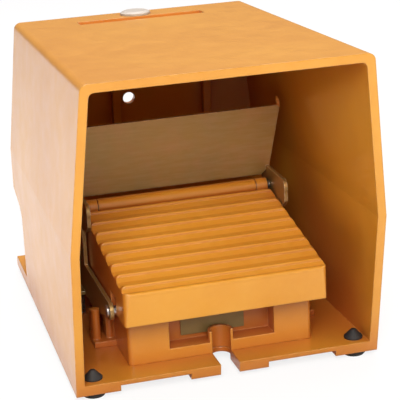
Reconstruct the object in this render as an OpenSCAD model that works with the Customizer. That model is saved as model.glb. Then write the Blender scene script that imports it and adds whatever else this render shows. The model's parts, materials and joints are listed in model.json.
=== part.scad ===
// Industrial foot switch: guard shroud, ribbed pedal, trigger plate and switch housing.
// +X right, +Y from the foot opening to the back, +Z up, millimetres.
// Modules draw in the casting frame: Y 0 at the knee of the opening's rim, Z 0 at the
// shroud's standing edge. place() moves them so the origin is the bottom centre.

/* [Shroud] */
// width of the shroud at the knee of its sides
shroud_w = 160; // [156:1:166]
// height of the knee above the standing edge
knee_z = 78; // [74:1:82]
// height of the roof at the front edge
roof_z = 163.6; // [158:0.2:170]
// fall of the roof toward the back, degrees
roof_fall = 3; // [2:0.5:4]
// inward lean of the sides above the knee, degrees
side_lean = 5.78; // [5:0.1:6.5]
// draft of the sides toward the back, degrees
side_draft = 1.13; // [0.8:0.05:1.4]
// wall thickness of the casting
wall = 4.4; // [3.8:0.1:5]
// overhang of the roof's front edge ahead of the knee
roof_over = 8; // [6:0.5:10]
// set-back of the opening's rim at the floor
rim_back = 13.5; // [11:0.5:15]
// back face of the shroud at roof level
back_y = 192; // [188:0.5:196]
// rounding of the roof's side edges
roof_edge_r = 4; // [3:0.5:5]

/* [Base] */
// underside of the floor above the standing edge
floor_lo = 3.2; // [3:0.1:3.6]
// top of the floor
floor_hi = 5.8; // [5.6:0.1:6.2]
// rear end of the base flange
flange_y = 211.5; // [209:0.5:214]
// thickness of the base flange at the back
flange_h = 6.5; // [6:0.1:7]
// outer face of the cable recess wall
recess_y = 170.5; // [170:0.5:172]
// width of the front fixing slot
slot_w = 10; // [9:0.5:11]
// closed end of the front fixing slot
slot_end_y = 34.7; // [33:0.1:35]
// radius of the rear fixing holes
fix_r = 4.5; // [4:0.25:4.5]
// half spacing of the rear fixing holes
fix_x = 45; // [42:1:48]
// distance of the rear fixing holes from the knee plane
fix_y = 192; // [190:1:194]
// how far the rubber feet stand below the casting
foot_drop = 3; // [2:0.5:4]

/* [Pedal] */
// width of the pedal over its skirts
pedal_w = 106; // [104:0.5:106.4]
// front of the pedal's nose
nose_y = 12.1; // [11:0.1:14]
// lower edge of the pedal's skirt
skirt_z = 33; // [32.5:0.1:34]
// crest height of the ribs at the nose
crest_z = 52; // [51:0.5:53]
// rise of the ribbed face toward the back, degrees
pedal_rise = 9.26; // [8.5:0.1:10]
// radius of the nose's top edge
nose_r = 1.4; // [1.2:0.1:1.6]
// number of cross ribs
rib_count = 8; // [7:1:8]
// rib pitch along Y
rib_pitch = 11.3; // [10:0.1:11.5]
// radius of a rib's crest
rib_r = 1.2; // [1:0.1:1.5]
// height of the rib crests over the pedal's skin
rib_h = 2.6; // [2:0.1:2.8]
// thickness of the pedal's skin and skirts
pedal_t = 3; // [2.6:0.1:3.2]

/* [Hinge] */
// hinge pin position along Y
hinge_y = 106; // [105.5:0.25:106.5]
// hinge pin height
hinge_z = 66.4; // [66:0.1:66.6]
// hinge pin radius
hinge_r = 2.5; // [2.25:0.05:2.7]
// running clearance of the pedal on its pin, radial
run_gap = 0.05; // [0.03:0.01:0.08]

/* [Trigger] */
// inner face of the trigger arms
arm_x = 53.6; // [53.6:0.1:54]
// sheet thickness of the trigger
sheet_t = 2; // [1.5:0.1:2]
// pivot of the trigger arms along Y
pivot_y = 39.5; // [39:0.5:41]
// pivot height of the trigger arms
pivot_z = 32.8; // [32.4:0.1:33]
// pivot pin radius
pivot_r = 2.5; // [2.3:0.1:2.6]
// top edge of the trigger plate
plate_top_z = 109.5; // [106:0.5:112]
// front face of the trigger plate
plate_y = 112; // [112:0.5:113]

/* [Housing] */
// width of the switch housing
housing_w = 98; // [96:0.5:98.4]
// front face of the switch housing
housing_y = 27.7; // [27:0.1:28.5]
// top of the switch housing under the pedal
housing_z = 38; // [37:0.5:38.5]
// plunger axis along Y
plunger_y = 72; // [70:0.5:74]
// radius of the cable entry threads
entry_r = 9.25; // [9:0.05:9.25]
// half spacing of the cable entries
entry_x = 22; // [21:0.5:23]
// height of the cable entries
entry_z = 25; // [24.5:0.5:25.5]

/* [Hidden] */
$fn = 64;
eps = 0.01;
front_y = -roof_over;
mid_y = (front_y + flange_y) / 2;
knee_hw = shroud_w / 2;
lean_k = tan(side_lean);
draft_k = tan(side_draft);
fall_k = tan(roof_fall);
top_hw = knee_hw + draft_k * roof_over - lean_k * (roof_z - knee_z);
edge_k = draft_k - lean_k * fall_k;
edge_yaw = atan(edge_k * cos(roof_fall));
lean_loc = atan(lean_k * cos(roof_fall) + draft_k * sin(roof_fall));
corner_k = tan((90 - lean_loc) / 2);
back_k = 0.0655;
back_lo_z = 54;
back_lo_y = back_y + back_k * (roof_z - 10 - back_lo_z);
rim_k = roof_over / (roof_z - knee_z);
rise_k = tan(pedal_rise);
pedal_hw = pedal_w / 2;
rear_y = hinge_y + 3.6;
ear_r = 4.1;
housing_hw = housing_w / 2;
rear_face_y = recess_y - wall;
arm_out = arm_x + sheet_t;
led_z = 13.8;
guide_r = 6;
stem_r = 3.6;
bar_z = 29.7;
screw_hole_r = 2.1;
plug_y = 181.4;

orange = [0.83, 0.55, 0.13];
zinc_yellow = [0.62, 0.5, 0.24];
steel = [0.7, 0.71, 0.72];
dark_steel = [0.3, 0.3, 0.32];
brass_c = [0.72, 0.6, 0.32];
black_rubber = [0.07, 0.07, 0.07];

function roof_at(y) = roof_z - (y - front_y) * fall_k;
function crest_at(y) = crest_z + (y - nose_y) * rise_k;
function skin_at(y) = crest_at(y) - rib_h;
function under_at(y) = skin_at(y) - 4;
boss_z = under_at(plunger_y) - 4;

module place() { translate([0, -mid_y, foot_drop]) children(); }

module both() { children(); mirror([1, 0, 0]) children(); }

// a Y-Z outline pushed along X, centred or from x0
module across(w, x0 = undef) {
    translate([x0 == undef ? -w / 2 : x0, 0, 0])
        rotate([90, 0, 90]) linear_extrude(w) children();
}

module rod_x(r, x0, x1, y, z) {
    translate([x0, y, z]) rotate([0, 90, 0]) cylinder(r = r, h = x1 - x0);
}

module box(x0, x1, y0, y1, z0, z1) {
    translate([x0, y0, z0]) cube([x1 - x0, y1 - y0, z1 - z0]);
}

// 2D rounded rectangle kept exact
module round_rect(w, h, r) {
    square([w - 2 * r, h], center = true);
    square([w, h - 2 * r], center = true);
    for (sx = [-1, 1], sy = [-1, 1]) translate([sx * (w / 2 - r), sy * (h / 2 - r)]) circle(r);
}

module round_box(x0, x1, y0, y1, z0, z1, r) {
    translate([(x0 + x1) / 2, (y0 + y1) / 2, z0])
        linear_extrude(z1 - z0) round_rect(x1 - x0, y1 - y0, r);
}

// ---------- shroud ----------

// roof and upper side of one half, as a prism along the roof's side edge
module roof_prism(inset, r) {
    t = r * corner_k;
    s = sin(lean_loc);
    c = cos(lean_loc);
    translate([top_hw, front_y, roof_z]) rotate([-roof_fall, 0, 0]) rotate([0, 0, edge_yaw])
        rotate([90, 0, 0]) translate([-corner_k * inset, -inset, -260]) linear_extrude(330)
            difference() {
                polygon([[-170, 0], [0, 0], [240 * s, -240 * c], [-170, -240 * c]]);
                difference() {
                    polygon([[-t, 0.5], [1, 0.5], [t * s + 1, -t * c], [t * s, -t * c], [-t, -r]]);
                    translate([-t, -r]) circle(r);
                }
            }
}

module lower_side(inset) {
    translate([knee_hw, 0, 0]) rotate([0, 0, side_draft])
        translate([-300 - inset, -120, -60]) cube([300, 420, 320]);
}

module sides(inset, r) {
    intersection() {
        roof_prism(inset, r);
        mirror([1, 0, 0]) roof_prism(inset, r);
        lower_side(inset);
        mirror([1, 0, 0]) lower_side(inset);
        children();
    }
}

module shroud_outline() {
    polygon([[rim_back, 0], [0, knee_z], [-rim_k * (175 - knee_z), 175],
        [back_y - back_k * (175 - roof_z + 10), 175], [back_lo_y, back_lo_z],
        [recess_y + 6, back_lo_z - 5.5], [recess_y, back_lo_z - 11], [recess_y, flange_h],
        [flange_y - 3, flange_h], [flange_y, flange_h - 2.5], [flange_y, 0]]);
}

module shroud_void() {
    polygon([[-60, floor_hi], [-60, 180], [back_y - wall - back_k * (180 - roof_z + 10), 180],
        [back_lo_y - wall, back_lo_z + 5.2], [recess_y + 4, back_lo_z - 0.6],
        [rear_face_y, back_lo_z - 8.8], [rear_face_y, floor_hi]]);
}

module pads() {
    both() {
        box(57, 90, -20, 34, -1, floor_hi);
        box(slot_w / 2, 20.5, -20, 30, -1, floor_hi);
        box(55, 90, 188, 240, -1, floor_hi);
    }
    box(-20, 20, 200, 240, -1, floor_hi);
}

module under_floor() {
    difference() {
        sides(wall, 1) across(300) polygon([[-60, -5], [-60, floor_lo],
            [flange_y - wall, floor_lo], [flange_y - wall, -5]]);
        pads();
    }
}

module back_ribs() {
    for (x = [-15.3, 39.9]) box(x, x + 4.6, 150, 230, 60, 175);
}

module shroud() {
    color(orange) difference() {
        sides(0, roof_edge_r) across(300) shroud_outline();
        difference() {
            sides(wall, 3) across(300) shroud_void();
            difference() {
                back_ribs();
                translate([0, -5, 0]) across(300) shroud_void();
            }
        }
        under_floor();
        // service opening under the switch housing
        round_box(-40, 40, 44, 158, -5, floor_hi + 1, 4);
        // front fixing slot
        translate([0, slot_end_y - slot_w / 2, -5]) cylinder(d = slot_w, h = 15);
        box(-slot_w / 2, slot_w / 2, -20, slot_end_y - slot_w / 2, -5, 10);
        both() {
            translate([fix_x, fix_y, -5]) cylinder(r = fix_r, h = 20);
            for (p = feet_xy()) translate([p[0], p[1], -5]) cylinder(r = 3, h = 20);
            for (p = housing_screw_xy()) translate([p[0], p[1], -5]) cylinder(r = 2.75, h = 14);
            translate([entry_x, rear_face_y - 5, entry_z]) rotate([-90, 0, 0])
                cylinder(r = 15.5, h = 20);
        }
        // shallow ramped recess in the roof
        across(72) polygon([[162, roof_at(162)], [162, roof_at(162) + 5],
            [172, roof_at(172) + 5], [172, roof_at(172) - 2.4]]);
        translate([0, plug_y, roof_at(plug_y)]) rotate([-roof_fall, 0, 0])
            cylinder(r = 6, h = 30, center = true);
        // back wall hole and right wall hole
        translate([-4.5, 170, 102]) rotate([-90, 0, 0]) cylinder(r = 3.5, h = 40);
        rod_x(3.5, 60, 90, 138, 104);
    }
}

function feet_xy() = [[69.5, 21], [66, 200]];
function housing_screw_xy() = [[44.5, 36], [44.5, rear_face_y - 4]];
function cover_screw_y() = [49.5, 101, 152.5];

// ---------- switch housing ----------

module housing_body() {
    // base block, its rear terminal end and the hinge ears
    round_box(-housing_hw, housing_hw, housing_y, 118, floor_hi, housing_z, 2.5);
    box(-housing_hw, housing_hw, 60, rear_face_y, floor_hi, housing_z);
    round_box(-housing_hw, housing_hw, 118, rear_face_y, floor_hi, 43, 1);
    both() {
        across(4, 45) {
            translate([hinge_y, hinge_z]) circle(ear_r);
            polygon([[hinge_y - ear_r, hinge_z], [hinge_y + ear_r, hinge_z],
                [hinge_y + ear_r, 30], [hinge_y - 14, 30], [hinge_y - ear_r, 52]]);
        }
        rod_x(ear_r, 48, 51.2, hinge_y, hinge_z);
        // boss that reaches through the shroud's recess wall
        translate([entry_x, rear_face_y - 4, entry_z]) rotate([-90, 0, 0])
            cylinder(r = 15.2, h = 8.6);
        // fork lug with two round posts beside the trigger arm
        box(housing_hw - 3, 60.6, 56, 68, floor_hi, 9);
        for (x = [51.2, 58.2]) translate([x, 62, floor_hi]) cylinder(r = 2.2, h = 20);
        box(housing_hw - 3, 53.3, 60.5, 68, floor_hi, 24);
        box(56.3, 60.5, 62, 68, floor_hi, 24);
    }
}

module switch_housing() {
    color(orange) difference() {
        housing_body();
        // contact room and rear terminal room, open at the bottom
        box(-45, 45, 42, 114, led_z, housing_z - 4);
        box(-45, 45, 100, rear_face_y - 8, led_z, 39);
        round_box(-31, 31, 54, 148, floor_hi - 1, led_z + 1, 3);
        // window in the front face
        box(-27.5, 28.5, housing_y - 5, housing_y + 10, 12, 28.5);
        // vertical U slot over the front fixing slot
        box(-slot_w / 2, slot_w / 2, housing_y - 5, slot_end_y - slot_w / 2, 0, 19);
        translate([0, slot_end_y - slot_w / 2, 0]) cylinder(d = slot_w, h = 19);
        // plunger guide seat, hinge pin bore, pivot pin bores
        translate([0, plunger_y, 30]) cylinder(r = guide_r, h = 20);
        rod_x(hinge_r, -60, 60, hinge_y, hinge_z);
        both() {
            rod_x(pivot_r, 44, 60, pivot_y, pivot_z);
            for (p = housing_screw_xy())
                translate([p[0], p[1], floor_hi - 1]) cylinder(r = screw_hole_r, h = 13);
            for (y = cover_screw_y())
                translate([35.5, y, floor_hi - 1]) cylinder(r = 1.7, h = 8);
            translate([32.9, 75, led_z - 6]) cylinder(r = 1.25, h = 8);
            translate([entry_x, rear_face_y - 9, entry_z]) rotate([-90, 0, 0])
                cylinder(r = entry_r, h = 20);
            translate([35, 40, housing_z - 4]) cylinder(r = 2.5, h = 8);
        }
        translate([38, 125, led_z - 6]) cylinder(r = 1.7, h = 8);
    }
    // raised wall around the slot's closed end
    color(orange) difference() {
        translate([0, slot_end_y - slot_w / 2, 10]) cylinder(d = slot_w + 3, h = 8);
        translate([0, slot_end_y - slot_w / 2, 0]) cylinder(d = slot_w, h = 19);
        box(-slot_w / 2, slot_w / 2, housing_y - 5, slot_end_y - slot_w / 2, 0, 19);
        box(-20, 20, 0, housing_y, 0, 30);
    }
}

module housing_gasket() {
    color(black_rubber) difference() {
        round_box(-39, 39, 45, 157, floor_hi - 1, floor_hi, 4);
        round_box(-32, 32, 53, 149, floor_hi - 2, floor_hi + 1, 3);
        both() for (y = cover_screw_y())
            translate([35.5, y, 0]) cylinder(r = 2.3, h = 10);
    }
}

module cover_plate() {
    color(steel) difference() {
        round_box(-39, 39, 45, 157, floor_hi - 3, floor_hi - 1, 4);
        both() for (y = cover_screw_y())
            translate([35.5, y, 0]) cylinder(r = 2.2, h = 10);
    }
}

// pan head screw, head down, shank up
module pan_screw(r, l, head_r, head_h) {
    difference() {
        union() {
            cylinder(r = r, h = l);
            translate([0, 0, -head_h]) cylinder(r = head_r, h = head_h);
        }
        translate([-head_r, -0.5, -head_h - 1]) cube([2 * head_r, 1, 2]);
    }
}

module cover_screws() {
    color(steel) both() for (y = cover_screw_y())
        translate([35.5, y, floor_hi - 3]) pan_screw(1.7, 9.5, 3.6, 2.2);
}

module housing_screws() {
    color(steel) both() for (p = housing_screw_xy())
        translate([p[0], p[1], floor_lo]) pan_screw(screw_hole_r, 14, 4.4, 2.8);
}

module rubber_feet() {
    color(black_rubber) both() for (p = feet_xy()) {
        hi = p[1] > 100 ? flange_h : floor_hi;
        translate([p[0], p[1], 0]) rotate_extrude() polygon([[0, -foot_drop],
            [5.4, -foot_drop], [6.2, -foot_drop + 1], [6.2, 0], [3, 0], [3, hi], [4.9, hi],
            [4.9, hi + 0.8], [1.3, hi + 4.6], [0, hi + 4.9]]);
    }
}

module roof_plug() {
    color([0.72, 0.7, 0.66]) translate([0, plug_y, roof_at(plug_y)]) rotate([-roof_fall, 0, 0]) {
        rotate_extrude() polygon([[0, 2.2], [6.8, 2.2], [8.6, 1.2], [8.6, 0], [0, 0]]);
        translate([0, 0, -5.5]) cylinder(r = 5.9, h = 6);
    }
}

module label_plate() {
    color(brass_c) box(-19, 15, housing_y + 9.2, housing_y + 10, 14.4, 27.6);
}

module hinge_pin() {
    color(steel) difference() {
        rod_x(hinge_r, -53.3, 53.3, hinge_y, hinge_z);
        both() difference() {
            rod_x(hinge_r + 1, 51.3, 52.1, hinge_y, hinge_z);
            rod_x(hinge_r - 0.5, 51, 52.4, hinge_y, hinge_z);
        }
    }
}

module hinge_clips() {
    color(dark_steel) both() difference() {
        rod_x(hinge_r + 1.5, 51.35, 52.05, hinge_y, hinge_z);
        rod_x(hinge_r - 0.5, 51, 52.4, hinge_y, hinge_z);
        box(51, 52.4, hinge_y - 1.8, hinge_y + 1.8, hinge_z - 6, hinge_z);
    }
}

module pivot_pins() {
    color(steel) both() {
        rod_x(pivot_r, 44, arm_out + 0.3, pivot_y, pivot_z);
        rod_x(pivot_r + 0.7, arm_out + 0.3, arm_out + 1.2, pivot_y, pivot_z);
    }
}

// ---------- contacts ----------

module contact_bracket() {
    color(steel) difference() {
        box(-34.5, 34.5, 67, 83, led_z, led_z + 1.5);
        both() {
            translate([32.9, 75, 0]) cylinder(r = 1.25, h = 40);
            translate([14, plunger_y, 0]) cylinder(r = 1.5, h = 40);
        }
    }
}

module bracket_screws() {
    color(steel) both() translate([32.9, 75, led_z + 1.5]) mirror([0, 0, 1])
        pan_screw(1.25, 6, 2.6, 1.6);
}

module contact_blocks() {
    color([0.9, 0.88, 0.8]) both() difference() {
        union() {
            box(4, 24, 54, 96, led_z + 1.5, 26.3);
            box(9, 19, 62, 82, 26, 26.5);
        }
        translate([14, plunger_y, 20]) cylinder(r = 2.55, h = 20);
        for (x = [9, 19], y = [58, 92]) translate([x, y, led_z]) cylinder(r = 1.5, h = 8);
        // finger gaps between the terminals
        for (y = [54, 89]) box(13, 15, y - 1, y + 8, led_z, 24);
    }
}

module terminal_screws() {
    color(brass_c) both() for (x = [9, 19], y = [58, 92])
        translate([x, y, led_z + 1.5]) pan_screw(1.5, 6, 2.8, 1.8);
}

module contact_pushers() {
    color([0.75, 0.15, 0.1]) both() translate([14, plunger_y, 23.2])
        cylinder(r = 2.5, h = bar_z - 23.2);
}

module earth_screw() {
    color(brass_c) translate([38, 125, led_z + 1.2]) mirror([0, 0, 1])
        pan_screw(1.7, 7, 3.6, 2.4);
    color(brass_c) difference() {
        translate([38, 125, led_z]) cylinder(r = 4.4, h = 1.2);
        translate([38, 125, led_z - 1]) cylinder(r = 1.7, h = 4);
    }
}

// ---------- cable entries ----------

module entry_plug() {
    color(dark_steel) translate([entry_x, 0, entry_z]) rotate([-90, 0, 0]) difference() {
        union() {
            translate([0, 0, rear_face_y - 6]) cylinder(r = entry_r, h = 12.6);
            translate([0, 0, rear_face_y + 6.1]) cylinder(r = 12, h = 2.6);
        }
        translate([0, 0, rear_face_y + 6.7]) cylinder(r = 5, h = 4, $fn = 6);
        translate([0, 0, rear_face_y - 7]) cylinder(r = 6.5, h = 10);
    }
}

module entry_seal() {
    color(black_rubber) translate([entry_x, 0, entry_z]) rotate([-90, 0, 0]) difference() {
        translate([0, 0, rear_face_y + 4.6]) cylinder(r = 11.6, h = 1.5);
        translate([0, 0, rear_face_y + 4]) cylinder(r = entry_r, h = 3);
    }
}

// ---------- plunger ----------

module plunger_guide() {
    color(brass_c) translate([0, plunger_y, 0]) difference() {
        union() {
            translate([0, 0, housing_z - 4]) cylinder(r = guide_r, h = 7);
            translate([0, 0, housing_z]) cylinder(r = 8, h = 1.6);
        }
        translate([0, 0, housing_z - 5]) cylinder(r = stem_r + run_gap, h = 20);
    }
}

module plunger() {
    color(steel) {
        translate([0, plunger_y, bar_z]) cylinder(r = stem_r, h = 16.3);
        round_box(-20, 20, plunger_y - 4, plunger_y + 4, bar_z, bar_z + 3, 1);
    }
}

module plunger_boot() {
    color(black_rubber) translate([0, plunger_y, 0]) difference() {
        union() {
            translate([0, 0, housing_z + 3]) cylinder(r = guide_r + 1.1, h = 1);
            translate([0, 0, housing_z + 4]) cylinder(r = 5.8, h = 1.1);
            translate([0, 0, housing_z + 5]) cylinder(r = guide_r + 0.6, h = 1);
            translate([0, 0, housing_z + 6]) cylinder(r = 4.7, h = 1);
        }
        translate([0, 0, housing_z]) cylinder(r = stem_r + 0.25, h = 20);
        translate([0, 0, housing_z]) cylinder(r = guide_r, h = 3);
    }
}

// closed coils along Z, joined by a thin upright
module coil_spring(r, wire, h, turns) {
    step = (h - wire) / turns;
    for (i = [0:turns]) translate([0, 0, wire / 2 + i * step])
        rotate_extrude() translate([r, 0]) circle(d = wire, $fn = 24);
    translate([r, 0, wire / 2]) cylinder(d = wire * 0.7, h = h - wire);
}

module plunger_spring() {
    color(steel) translate([0, plunger_y, led_z + 1.5]) coil_spring(3, 0.9, bar_z - led_z - 1.5, 6);
}

module pedal_buffers() {
    color(black_rubber) both() translate([35, 40, 0]) {
        translate([0, 0, housing_z - 4]) cylinder(r = 2.5, h = 5);
        translate([0, 0, housing_z]) rotate_extrude() polygon([[0, 0], [5, 0], [4.2, 4.1],
            [3.2, 5], [0, 5]]);
    }
}

module pedal_spring() {
    color(steel) translate([0, 50, housing_z]) coil_spring(7, 1.8, under_at(50) - 1.6 - housing_z, 4);
}

// ---------- pedal ----------

module pedal_outline() {
    polygon([[nose_y + 1.6, skirt_z], [nose_y + 0.15, crest_z - 2.6],
        [nose_y + 2.2, crest_z - 1.4], [nose_y + 4.6, skin_at(nose_y + 4.6)],
        [rear_y, skin_at(rear_y)], [rear_y, skirt_z]]);
    translate([nose_y + nose_r, crest_z - 0.8 - nose_r]) circle(nose_r);
    translate([hinge_y, hinge_z]) circle(ear_r);
}

module pedal_hollow() {
    polygon([[nose_y + 8, 0], [nose_y + 8, under_at(nose_y + 8)],
        [hinge_y - 10, under_at(hinge_y - 10)], [hinge_y - 10, hinge_z - 12],
        [rear_y + 20, hinge_z - 12], [rear_y + 20, 0]]);
}

// cross rib: a narrow round crest on sloping flanks
module rib(y) {
    z = crest_at(y) - rib_r;
    shoulder = 0.65 * rib_r;
    rod_x(rib_r, -pedal_hw, pedal_hw, y, z);
    across(pedal_w) polygon([[y - 4.4, skin_at(y - 4.4) - 0.3], [y - shoulder, z + 0.2],
        [y + shoulder, z + 0.2], [y + 2.6, skin_at(y + 2.6) - 0.3]]);
}

// cut that rounds the ribbed face's long edges
module side_rounding() {
    r = 3.2;
    both() translate([0, nose_y, crest_z]) rotate([pedal_rise, 0, 0])
        translate([pedal_hw - r + 0.05, -2, 0.06 - r]) rotate([-90, 0, 0])
            linear_extrude(hinge_y - nose_y - 2) difference() {
                translate([0, -r - 1]) square([r + 1, r + 1]);
                circle(r);
            }
}

module pedal() {
    color(orange) difference() {
        union() {
            intersection() {
                across(pedal_w) pedal_outline();
                round_box(-pedal_hw, pedal_hw, nose_y, rear_y + 1, 0, 90, 4);
            }
            for (i = [0:rib_count - 1]) rib(nose_y + 7.6 + i * rib_pitch);
            translate([0, plunger_y, boss_z]) cylinder(r = 6, h = 7);
        }
        side_rounding();
        across(pedal_w - 2 * pedal_t) pedal_hollow();
        rod_x(hinge_r + run_gap, -60, 60, hinge_y, hinge_z);
        both() {
            // room for the hinge ears at the ends of the barrel and under the skin in front
            box(44.6, 49.4, hinge_y - 16, rear_y + 20, 0, hinge_z - 7);
            box(44.6, 49.4, hinge_y - 6.2, rear_y + 20, 0, hinge_z - 1);
            box(44.6, 60, hinge_y - 4.8, rear_y + 20, 57, 90);
            // slot over the trigger's pivot pin
            box(45, 60, pivot_y - 7, pivot_y + 4, 0, pivot_z + 9.2);
        }
        translate([0, plunger_y, 0]) cylinder(r = 2.5, h = under_at(plunger_y) + 1);
    }
}

module actuator_screw() {
    z = bar_z + 16.4;
    color(steel) translate([0, plunger_y, z]) rotate_extrude() polygon([[0, 0], [1.6, 0.12],
        [3.2, 0.55], [4.5, 1.2], [4.5, 2.4], [2.5, 2.4], [2.5, under_at(plunger_y) - z],
        [0, under_at(plunger_y) - z]]);
}

module lock_nut() {
    color(steel) translate([0, plunger_y, 0]) difference() {
        translate([0, 0, boss_z - 2.6]) cylinder(r = 5, h = 2.6, $fn = 6);
        cylinder(r = 2.5, h = 70);
    }
}

// ---------- trigger ----------

// side arm: bar from the pivot, upright behind the pedal's hinge and a rounded lobe ahead of it
module arm_outline() {
    end_r = 4.8;
    lobe_r = 5;
    lobe_y = 85;
    lobe_z = 71;
    back_y = plate_y + sheet_t;
    difference() {
        union() {
            translate([pivot_y, pivot_z]) circle(end_r);
            translate([lobe_y, lobe_z]) circle(lobe_r);
            polygon([[pivot_y, pivot_z + 4.6], [97, pivot_z + 4.6], [97, 58], [lobe_y, 60],
                [lobe_y - lobe_r + 0.4, 64], [lobe_y - lobe_r + 0.4, lobe_z],
                [lobe_y, lobe_z + lobe_r - 0.4], [plate_y + 0.5, lobe_z + lobe_r - 0.4],
                [plate_y + 0.5, 98], [back_y + 6, 98], [back_y + 6, 60], [back_y - 1, 46],
                [back_y - 1, 22], [back_y - 7, 19], [76, 19], [66, 21.5],
                [pivot_y + 3, pivot_z - 4]]);
        }
        translate([pivot_y, pivot_z]) circle(pivot_r + run_gap);
    }
}

module trigger() {
    color(zinc_yellow) {
        both() {
            across(sheet_t, arm_x) arm_outline();
            box(arm_x, 62, 100, 110, 19, 21);
        }
        translate([0, plate_y + sheet_t, 0]) rotate([90, 0, 0]) linear_extrude(sheet_t)
            polygon([[-51, 70.7], [51, 70.7], [arm_out, 75], [62.6, plate_top_z - 1.4],
                [61.4, plate_top_z], [-61.4, plate_top_z], [-62.6, plate_top_z - 1.4],
                [-arm_out, 75]]);
    }
}

module trigger_springs() {
    color(steel) both() translate([58.2, 105, floor_hi]) coil_spring(2.6, 0.8, 19 - floor_hi, 6);
}

place() shroud();
place() switch_housing();
place() housing_gasket();
place() cover_plate();
place() cover_screws();
place() housing_screws();
place() rubber_feet();
place() roof_plug();
place() label_plate();
place() hinge_pin();
place() hinge_clips();
place() pivot_pins();
place() contact_bracket();
place() bracket_screws();
place() contact_blocks();
place() terminal_screws();
place() contact_pushers();
place() earth_screw();
place() entry_plug();
place() entry_seal();
place() plunger_guide();
place() plunger();
place() plunger_boot();
place() plunger_spring();
place() pedal_buffers();
place() pedal_spring();
place() actuator_screw();
place() lock_nut();
place() pedal();
place() trigger();
place() trigger_springs();
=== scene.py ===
"""Looks of the industrial foot switch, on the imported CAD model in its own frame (metres)."""

import json
import math

import bmesh
import bpy
from mathutils import Matrix, Vector


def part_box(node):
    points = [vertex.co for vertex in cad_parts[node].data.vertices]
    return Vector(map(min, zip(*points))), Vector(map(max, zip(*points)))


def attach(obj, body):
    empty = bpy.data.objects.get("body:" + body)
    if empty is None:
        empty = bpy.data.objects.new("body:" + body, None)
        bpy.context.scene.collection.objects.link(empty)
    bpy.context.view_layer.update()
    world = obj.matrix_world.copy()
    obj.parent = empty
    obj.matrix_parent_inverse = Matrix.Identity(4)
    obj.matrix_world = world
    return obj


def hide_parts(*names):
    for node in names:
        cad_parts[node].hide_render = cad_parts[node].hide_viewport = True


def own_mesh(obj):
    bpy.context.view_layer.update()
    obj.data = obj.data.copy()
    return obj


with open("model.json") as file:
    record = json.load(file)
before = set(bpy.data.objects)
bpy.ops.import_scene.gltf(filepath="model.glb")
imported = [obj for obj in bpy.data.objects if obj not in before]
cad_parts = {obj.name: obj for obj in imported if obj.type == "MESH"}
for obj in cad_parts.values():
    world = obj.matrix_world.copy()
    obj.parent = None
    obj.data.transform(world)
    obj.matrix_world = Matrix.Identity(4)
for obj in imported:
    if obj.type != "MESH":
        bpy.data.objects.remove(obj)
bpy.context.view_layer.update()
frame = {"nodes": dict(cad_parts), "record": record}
NODES = frame["nodes"]

# ---------- node helpers ----------


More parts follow.
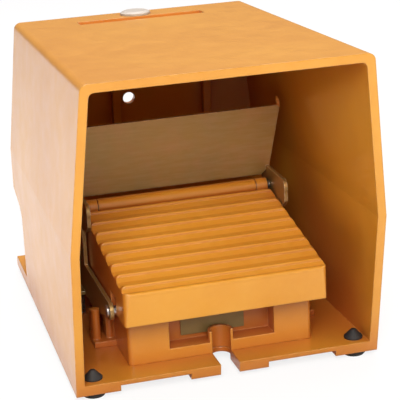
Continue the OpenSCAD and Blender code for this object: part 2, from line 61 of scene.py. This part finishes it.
class Net:
    """A material's node tree with short ways to add nodes and links (scales in 1/m, sizes in m)."""

    def __init__(self, name):
        self.mat = bpy.data.materials.new(name)
        self.mat.use_nodes = True
        self.tree = self.mat.node_tree
        self.tree.nodes.clear()
        self.coords = self.add("ShaderNodeTexCoord").outputs["Object"]

    def add(self, kind, **props):
        node = self.tree.nodes.new(kind)
        for key, value in props.items():
            setattr(node, key, value)
        return node

    def set(self, node, **inputs):
        for key, value in inputs.items():
            socket = node.inputs[int(key[1:])] if key[0] == "i" and key[1:].isdigit() else None
            if socket is None:
                socket = node.inputs[key.replace("_", " ")]
            if isinstance(value, bpy.types.NodeSocket):
                self.tree.links.new(value, socket)
            else:
                socket.default_value = value
        return node

    def noise(self, scale, detail=4.0, rough=0.55, stretch=None, distort=0.0):
        source = self.coords
        if stretch:
            source = self.set(
                self.add("ShaderNodeMapping"), Vector=self.coords, Scale=stretch
            ).outputs[0]
        node = self.set(
            self.add("ShaderNodeTexNoise"),
            Vector=source,
            Scale=scale,
            Detail=detail,
            Roughness=rough,
            Distortion=distort,
        )
        return node.outputs["Fac"]

    def ramp(self, fac, lo, hi, a=0.0, b=1.0):
        node = self.set(self.add("ShaderNodeMapRange"), Value=fac)
        for key, value in (("From Min", lo), ("From Max", hi), ("To Min", a), ("To Max", b)):
            node.inputs[key].default_value = value
        return node.outputs[0]

    def math(self, op, a, b=0.0, clamp=False):
        node = self.add("ShaderNodeMath", operation=op, use_clamp=clamp)
        return self.set(node, i0=a, i1=b).outputs[0]

    def mix(self, fac, a, b, blend="MIX"):
        node = self.add("ShaderNodeMix", data_type="RGBA", blend_type=blend)
        for index, value in ((0, fac), (6, a), (7, b)):
            if isinstance(value, bpy.types.NodeSocket):
                self.tree.links.new(value, node.inputs[index])
            else:
                if index and len(value) == 3:
                    value = (*value, 1.0)
                node.inputs[index].default_value = value
        return node.outputs[2]

    def bevel(self, radius, samples=6):
        return self.set(self.add("ShaderNodeBevel", samples=samples), Radius=radius).outputs[0]

    def edge(self, radius, samples=6):
        """1 on sharp edges, 0 on faces, from the angle between rounded and true normals."""
        flat = self.add("ShaderNodeNewGeometry").outputs["True Normal"]
        dot = self.add("ShaderNodeVectorMath", operation="DOT_PRODUCT")
        self.tree.links.new(self.bevel(radius, samples), dot.inputs[0])
        self.tree.links.new(flat, dot.inputs[1])
        return self.ramp(dot.outputs["Value"], 0.985, 0.78)

    def cavity(self, distance, samples=6):
        node = self.add("ShaderNodeAmbientOcclusion", samples=samples)
        node.inputs["Distance"].default_value = distance
        return node.outputs["AO"]

    def bump(self, height, strength, distance, normal=None):
        node = self.set(self.add("ShaderNodeBump"), Height=height, Strength=strength)
        node.inputs["Distance"].default_value = distance
        if normal is not None:
            self.tree.links.new(normal, node.inputs["Normal"])
        return node.outputs[0]

    def finish(self, **inputs):
        """Principled shader and output, with short names for its sockets."""
        shader = self.add("ShaderNodeBsdfPrincipled")
        names = {"base": "Base Color", "spec": "Specular IOR Level", "coat": "Coat Weight"}
        names.update(coat_rough="Coat Roughness", rough="Roughness", metal="Metallic")
        names.update(normal="Normal", coat_normal="Coat Normal")
        for key, value in inputs.items():
            socket = shader.inputs[names[key]]
            if isinstance(value, bpy.types.NodeSocket):
                self.tree.links.new(value, socket)
            elif key == "base" and len(value) == 3:
                socket.default_value = (*value, 1.0)
            else:
                socket.default_value = value
        out = self.add("ShaderNodeOutputMaterial")
        self.tree.links.new(shader.outputs[0], out.inputs[0])
        return self.mat


# ---------- materials ----------


def enamel(name, tone, deep, pale, painted_shade_red):
    """Glossy enamel on a cast wall: orange peel, faint casting waves, thin paint on edges, painted shade
    in hollows.
    """
    n = Net(name)
    broad = n.noise(11.0, 3.0, 0.5)
    mottled = n.noise(85.0, 5.0, 0.6)
    fine = n.noise(900.0, 3.0, 0.5)
    colour = n.mix(n.ramp(broad, 0.3, 0.7), tone, deep)
    colour = n.mix(n.ramp(mottled, 0.35, 0.75, 0.0, 0.22), colour, pale)
    # painted shade: corners and hollows darkened toward deep red, standing in for the red shade inside
    # the orange shell
    painted_shade = n.ramp(n.cavity(0.035, 8), 0.15, 0.95, 1.0, 0.0)
    colour = n.mix(n.math("MULTIPLY", painted_shade, 0.75, True), colour, painted_shade_red)
    # thin, paler paint on edges, broken up by noise
    worn = n.math("MULTIPLY", n.edge(0.0009), n.ramp(n.noise(240.0, 4.0, 0.7), 0.38, 0.66))
    colour = n.mix(n.math("MULTIPLY", worn, 0.5, True), colour, (0.93, 0.60, 0.24))
    # specks of dust and tiny scuffs
    scuff = n.ramp(n.noise(420.0, 6.0, 0.75, stretch=(1.0, 0.35, 1.0)), 0.66, 0.8)
    colour = n.mix(n.math("MULTIPLY", scuff, 0.2, True), colour, (0.75, 0.62, 0.5))
    rough = n.math("ADD", n.ramp(mottled, 0.3, 0.75, 0.30, 0.42), n.math("MULTIPLY", scuff, 0.15))
    height = n.math("ADD", n.math("MULTIPLY", fine, 0.25), n.noise(260.0, 3.0, 0.5))
    height = n.math("ADD", height, n.math("MULTIPLY", n.noise(38.0, 2.0, 0.5), 1.6))
    normal = n.bump(height, 0.16, 0.00035, n.bevel(0.0011))
    return n.finish(
        base=colour, rough=rough, spec=0.5, coat=0.35, coat_rough=0.12, normal=normal, coat_normal=normal
    )


def passivated(name):
    """Yellow-passivated sheet: patchy gold and olive film, rolled grain, bright cut edges."""
    n = Net(name)
    broad = n.noise(16.0, 4.0, 0.6, distort=0.4)
    patch = n.noise(60.0, 5.0, 0.65)
    grain = n.noise(500.0, 5.0, 0.7, stretch=(0.12, 1.0, 1.0))
    colour = n.mix(n.ramp(broad, 0.3, 0.7), (0.42, 0.235, 0.06), (0.32, 0.22, 0.075))
    colour = n.mix(n.ramp(patch, 0.45, 0.75, 0.0, 0.5), colour, (0.50, 0.24, 0.10))
    colour = n.mix(n.ramp(grain, 0.4, 0.7, 0.0, 0.18), colour, (0.72, 0.55, 0.30))
    cut = n.math("MULTIPLY", n.edge(0.0007), n.ramp(n.noise(700.0, 4.0, 0.6), 0.36, 0.6))
    colour = n.mix(n.math("MULTIPLY", cut, 0.85, True), colour, (0.92, 0.86, 0.66))
    rough = n.ramp(grain, 0.25, 0.8, 0.34, 0.56)
    height = n.math("ADD", grain, n.math("MULTIPLY", n.noise(30.0, 2.0, 0.5), 1.2))
    normal = n.bump(height, 0.12, 0.0002, n.bevel(0.0005))
    return n.finish(base=colour, rough=rough, metal=0.62, normal=normal)


def metal(name, colour, dark, rough_lo, rough_hi):
    """Plated or bare metal: fine streaks, painted shade in hollows, bright edges."""
    n = Net(name)
    patch = n.noise(120.0, 4.0, 0.6)
    streaks = n.noise(650.0, 4.0, 0.6, stretch=(1.0, 1.0, 0.15))
    tone = n.mix(n.ramp(patch, 0.35, 0.7), colour, dark)
    # painted shade: darker in hollows, from an ambient-occlusion mask
    painted_hollow_shade = n.ramp(n.cavity(0.004, 6), 0.2, 0.9, 0.6, 0.0)
    tone = n.mix(painted_hollow_shade, tone, tuple(0.25 * c for c in dark))
    edge = n.math("MULTIPLY", n.edge(0.0004, 4), 0.5)
    tone = n.mix(edge, tone, tuple(min(1.0, 1.25 * c) for c in colour))
    rough = n.ramp(streaks, 0.3, 0.75, rough_lo, rough_hi)
    normal = n.bump(streaks, 0.12, 0.00012, n.bevel(0.0003, 4))
    return n.finish(base=tone, rough=rough, metal=0.95, normal=normal)


def soft(name, colour, dust, rough, scale=500.0, strength=0.25):
    """Rubber or moulded plastic: fine grain, dust on faces, painted shade in hollows."""
    n = Net(name)
    grain = n.noise(scale, 5.0, 0.65)
    cloud = n.noise(70.0, 4.0, 0.6)
    tone = n.mix(n.ramp(cloud, 0.4, 0.75, 0.0, 0.35), colour, dust)
    # painted shade: darker in hollows, from an ambient-occlusion mask
    painted_shade = n.ramp(n.cavity(0.006, 6), 0.2, 0.9, 0.6, 0.0)
    tone = n.mix(painted_shade, tone, tuple(0.4 * c for c in colour))
    tone = n.mix(n.math("MULTIPLY", n.edge(0.0005, 4), 0.35), tone, dust)
    r = n.ramp(grain, 0.3, 0.7, rough - 0.07, rough + 0.1)
    normal = n.bump(grain, strength, 0.00012, n.bevel(0.0004, 4))
    return n.finish(base=tone, rough=r, normal=normal)


paint = enamel(
    "orange_paint",
    tone=(0.72, 0.33, 0.030),
    deep=(0.64, 0.265, 0.022),
    pale=(0.80, 0.42, 0.07),
    # painted shade colour: the deep red of the shade inside the shell
    painted_shade_red=(0.40, 0.050, 0.016),
)
zinc = passivated("zinc_yellow")
steel = metal("steel", (0.66, 0.66, 0.68), (0.48, 0.48, 0.50), 0.22, 0.42)
dark_steel = metal("dark_steel", (0.12, 0.12, 0.125), (0.07, 0.07, 0.07), 0.35, 0.55)
spring_steel = metal("spring_steel", (0.55, 0.54, 0.52), (0.34, 0.33, 0.32), 0.25, 0.45)
brass = metal("brass", (0.70, 0.53, 0.24), (0.52, 0.37, 0.15), 0.24, 0.42)
rubber = soft("black_rubber", (0.018, 0.018, 0.019), (0.08, 0.075, 0.07), 0.62)
label = soft("label", (0.24, 0.17, 0.055), (0.36, 0.26, 0.09), 0.42, 900.0, 0.2)
grey = soft("grey_plastic", (0.50, 0.46, 0.40), (0.62, 0.57, 0.50), 0.45)
cream = soft("cream_plastic", (0.70, 0.65, 0.52), (0.78, 0.74, 0.62), 0.42)
red = soft("red_plastic", (0.40, 0.03, 0.02), (0.48, 0.07, 0.05), 0.38)

BY_SLOT = {
    "orange_paint": paint,
    "zinc_yellow": zinc,
    "steel": steel,
    "dark_steel": dark_steel,
    "spring_steel": spring_steel,
    "brass": brass,
    "black_rubber": rubber,
    "label": label,
    "grey_plastic": grey,
    "cream_plastic": cream,
    "red_plastic": red,
}
for row in frame["record"]["subparts"]:
    mesh = NODES[row["node"]].data
    mesh.materials.clear()
    mesh.materials.append(BY_SLOT[row["material_slot"]])

# ---------- true helical springs in place of the stacked coils ----------


def helix(name, node, wire, turns, material, where=None):
    """A round-wire compression spring with closed ends, filling the box of a CAD spring."""
    lo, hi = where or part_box(node)
    centre = (lo + hi) / 2
    radius = (hi.x - lo.x) / 2 - wire / 2
    height = hi.z - lo.z - wire
    around, per_turn = 10, 28
    # turns of each closed end, and the share of the height that one closed end takes
    closed, end_rise = 0.8, 0.12
    steps = int(turns * per_turn)
    rings, faces = [], []
    for i in range(steps + 1):
        t = i / steps
        turn = t * turns
        # even pitch between the closed ends
        u = (turn - closed) / (turns - 2 * closed)
        rise = min(max(u, 0.0), 1.0)
        ends = min(turn / closed, 1.0) + max(0.0, (turn - turns + closed) / closed)
        z = lo.z + wire / 2 + height * ((1 - 2 * end_rise) * rise + end_rise * ends)
        a = turn * 2 * math.pi
        rings.append((Vector((centre.x + radius * math.cos(a), centre.y + radius * math.sin(a), z)), a))
    verts = []
    for point, a in rings:
        out = Vector((math.cos(a), math.sin(a), 0.0))
        for k in range(around):
            b = k * 2 * math.pi / around
            verts.append(point + out * (wire / 2 * math.cos(b)) + Vector((0, 0, wire / 2 * math.sin(b))))
    for i in range(steps):
        for k in range(around):
            m = (k + 1) % around
            faces.append((i * around + k, i * around + m, (i + 1) * around + m, (i + 1) * around + k))
    faces.append(tuple(range(around)))
    faces.append(tuple(reversed(range(steps * around, (steps + 1) * around))))
    mesh = bpy.data.meshes.new(name)
    mesh.from_pydata([tuple(v) for v in verts], [], faces)
    bm = bmesh.new()
    bm.from_mesh(mesh)
    bmesh.ops.recalc_face_normals(bm, faces=bm.faces)
    bm.to_mesh(mesh)
    bm.free()
    for polygon in mesh.polygons:
        polygon.use_smooth = len(polygon.vertices) == 4
    mesh.materials.append(material)
    piece = bpy.data.objects.new(name, mesh)
    bpy.context.scene.collection.objects.link(piece)
    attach(piece, "base")
    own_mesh(piece)
    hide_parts(node)


helix("pedal_coil", "pedal_spring", 0.0018, 4.5, spring_steel)
helix("plunger_coil", "plunger_spring", 0.0009, 7.5, spring_steel)
# one CAD node holds both trigger springs, at its two ends
lo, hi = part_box("trigger_springs")
width = 0.0060
trigger_pair = {
    "trigger_coil_left": (lo, Vector((lo.x + width, hi.y, hi.z))),
    "trigger_coil_right": (Vector((hi.x - width, lo.y, lo.z)), hi),
}
for name, where in trigger_pair.items():
    helix(name, "trigger_springs", 0.0008, 7.5, spring_steel, where=where)

# ---------- studio ----------

scene = bpy.context.scene
scene.view_settings.view_transform = "Standard"


def plain(name, colour, glow, rough=0.8):
    """A diffuse stage surface; glow lifts it toward white for camera rays only."""
    mat = bpy.data.materials.new(name)
    mat.use_nodes = True
    tree = mat.node_tree
    tree.nodes.clear()
    add = tree.nodes.new
    diffuse = add("ShaderNodeBsdfDiffuse")
    diffuse.inputs["Color"].default_value = (*colour, 1.0)
    diffuse.inputs["Roughness"].default_value = rough
    emit = add("ShaderNodeEmission")
    emit.inputs["Color"].default_value = (1.0, 1.0, 1.0, 1.0)
    path = add("ShaderNodeLightPath")
    scale = add("ShaderNodeMath")
    scale.operation = "MULTIPLY"
    scale.inputs[1].default_value = glow
    tree.links.new(path.outputs["Is Camera Ray"], scale.inputs[0])
    mix = add("ShaderNodeMixShader")
    tree.links.new(scale.outputs[0], mix.inputs[0])
    tree.links.new(diffuse.outputs[0], mix.inputs[1])
    tree.links.new(emit.outputs[0], mix.inputs[2])
    out = add("ShaderNodeOutputMaterial")
    tree.links.new(mix.outputs[0], out.inputs[0])
    return mat


bpy.ops.mesh.primitive_plane_add(size=8.0, location=(0, 0, 0))
floor = bpy.context.object
floor.name = "floor"
floor.data.materials.append(plain("floor_white", (0.86, 0.86, 0.87), glow=0.80))

# the world lights softly from above, and shows plain white to the camera
world = bpy.data.worlds.new("studio")
scene.world = world
world.use_nodes = True
tree = world.node_tree
tree.nodes.clear()
coord = tree.nodes.new("ShaderNodeTexCoord")
split = tree.nodes.new("ShaderNodeSeparateXYZ")
tree.links.new(coord.outputs["Generated"], split.inputs[0])
sky = tree.nodes.new("ShaderNodeValToRGB")
sky.color_ramp.elements[0].position = 0.45
sky.color_ramp.elements[0].color = (0.30, 0.27, 0.27, 1)
sky.color_ramp.elements[1].position = 0.80
sky.color_ramp.elements[1].color = (0.62, 0.58, 0.60, 1)
shift = tree.nodes.new("ShaderNodeMath")
shift.operation = "MULTIPLY_ADD"
shift.inputs[1].default_value = 0.5
shift.inputs[2].default_value = 0.5
tree.links.new(split.outputs["Z"], shift.inputs[0])
tree.links.new(shift.outputs[0], sky.inputs[0])
soft_light = tree.nodes.new("ShaderNodeBackground")
soft_light.inputs["Strength"].default_value = 0.52
tree.links.new(sky.outputs[0], soft_light.inputs["Color"])
white = tree.nodes.new("ShaderNodeBackground")
white.inputs["Color"].default_value = (1, 1, 1, 1)
white.inputs["Strength"].default_value = 1.0
path = tree.nodes.new("ShaderNodeLightPath")
join = tree.nodes.new("ShaderNodeMixShader")
tree.links.new(path.outputs["Is Camera Ray"], join.inputs[0])
tree.links.new(soft_light.outputs[0], join.inputs[1])
tree.links.new(white.outputs[0], join.inputs[2])
out = tree.nodes.new("ShaderNodeOutputWorld")
tree.links.new(join.outputs[0], out.inputs[0])


def area(name, place, target, size, power, colour):
    """A square area lamp aimed at a point."""
    light = bpy.data.lights.new(name, "AREA")
    light.energy = power
    light.color = colour
    light.shape = "RECTANGLE"
    light.size = size
    light.size_y = size
    lamp = bpy.data.objects.new(name, light)
    scene.collection.objects.link(lamp)
    lamp.location = place
    aim = Vector(target) - Vector(place)
    lamp.rotation_mode = "QUATERNION"
    lamp.rotation_quaternion = aim.to_track_quat("-Z", "Y")


# name, place, what it aims at, size, watts, colour
LAMPS = (
    ("key", (-0.35, -1.25, 0.95), (0.0, -0.05, 0.07), 0.75, 20.0, (1.0, 0.96, 0.88)),
    ("top", (0.05, 0.30, 1.15), (0.0, 0.0, 0.1), 0.95, 13.0, (1.0, 0.94, 0.94)),
    ("fill", (1.15, -0.75, 0.55), (0.0, 0.0, 0.08), 0.6, 3.2, (1.0, 0.97, 0.95)),
)
for lamp_row in LAMPS:
    area(*lamp_row)

# camera: low at the left front, a long lens, turned right, tipped down and rolled a little
CAMERA_AT = (-0.199615, -0.783417, 0.338090)
FOCAL_MM, SENSOR_MM = 140.4, 36.0
yaw, pitch, roll = math.radians(15.1131), math.radians(18.4825), math.radians(-2.6359)
ahead = Vector((math.sin(yaw) * math.cos(pitch), math.cos(yaw) * math.cos(pitch), -math.sin(pitch)))
level = Vector((math.cos(yaw), -math.sin(yaw), 0.0))
lift = level.cross(ahead)
right_dir = math.cos(roll) * level + math.sin(roll) * lift
up_dir = -math.sin(roll) * level + math.cos(roll) * lift
lens = bpy.data.cameras.new("camera")
lens.sensor_width = SENSOR_MM
lens.lens = FOCAL_MM
lens.clip_start, lens.clip_end = 0.05, 20.0
camera = bpy.data.objects.new("camera", lens)
scene.collection.objects.link(camera)
turn = Matrix((right_dir, up_dir, -ahead)).transposed().to_4x4()
camera.matrix_world = Matrix.Translation(CAMERA_AT) @ turn
scene.camera = camera
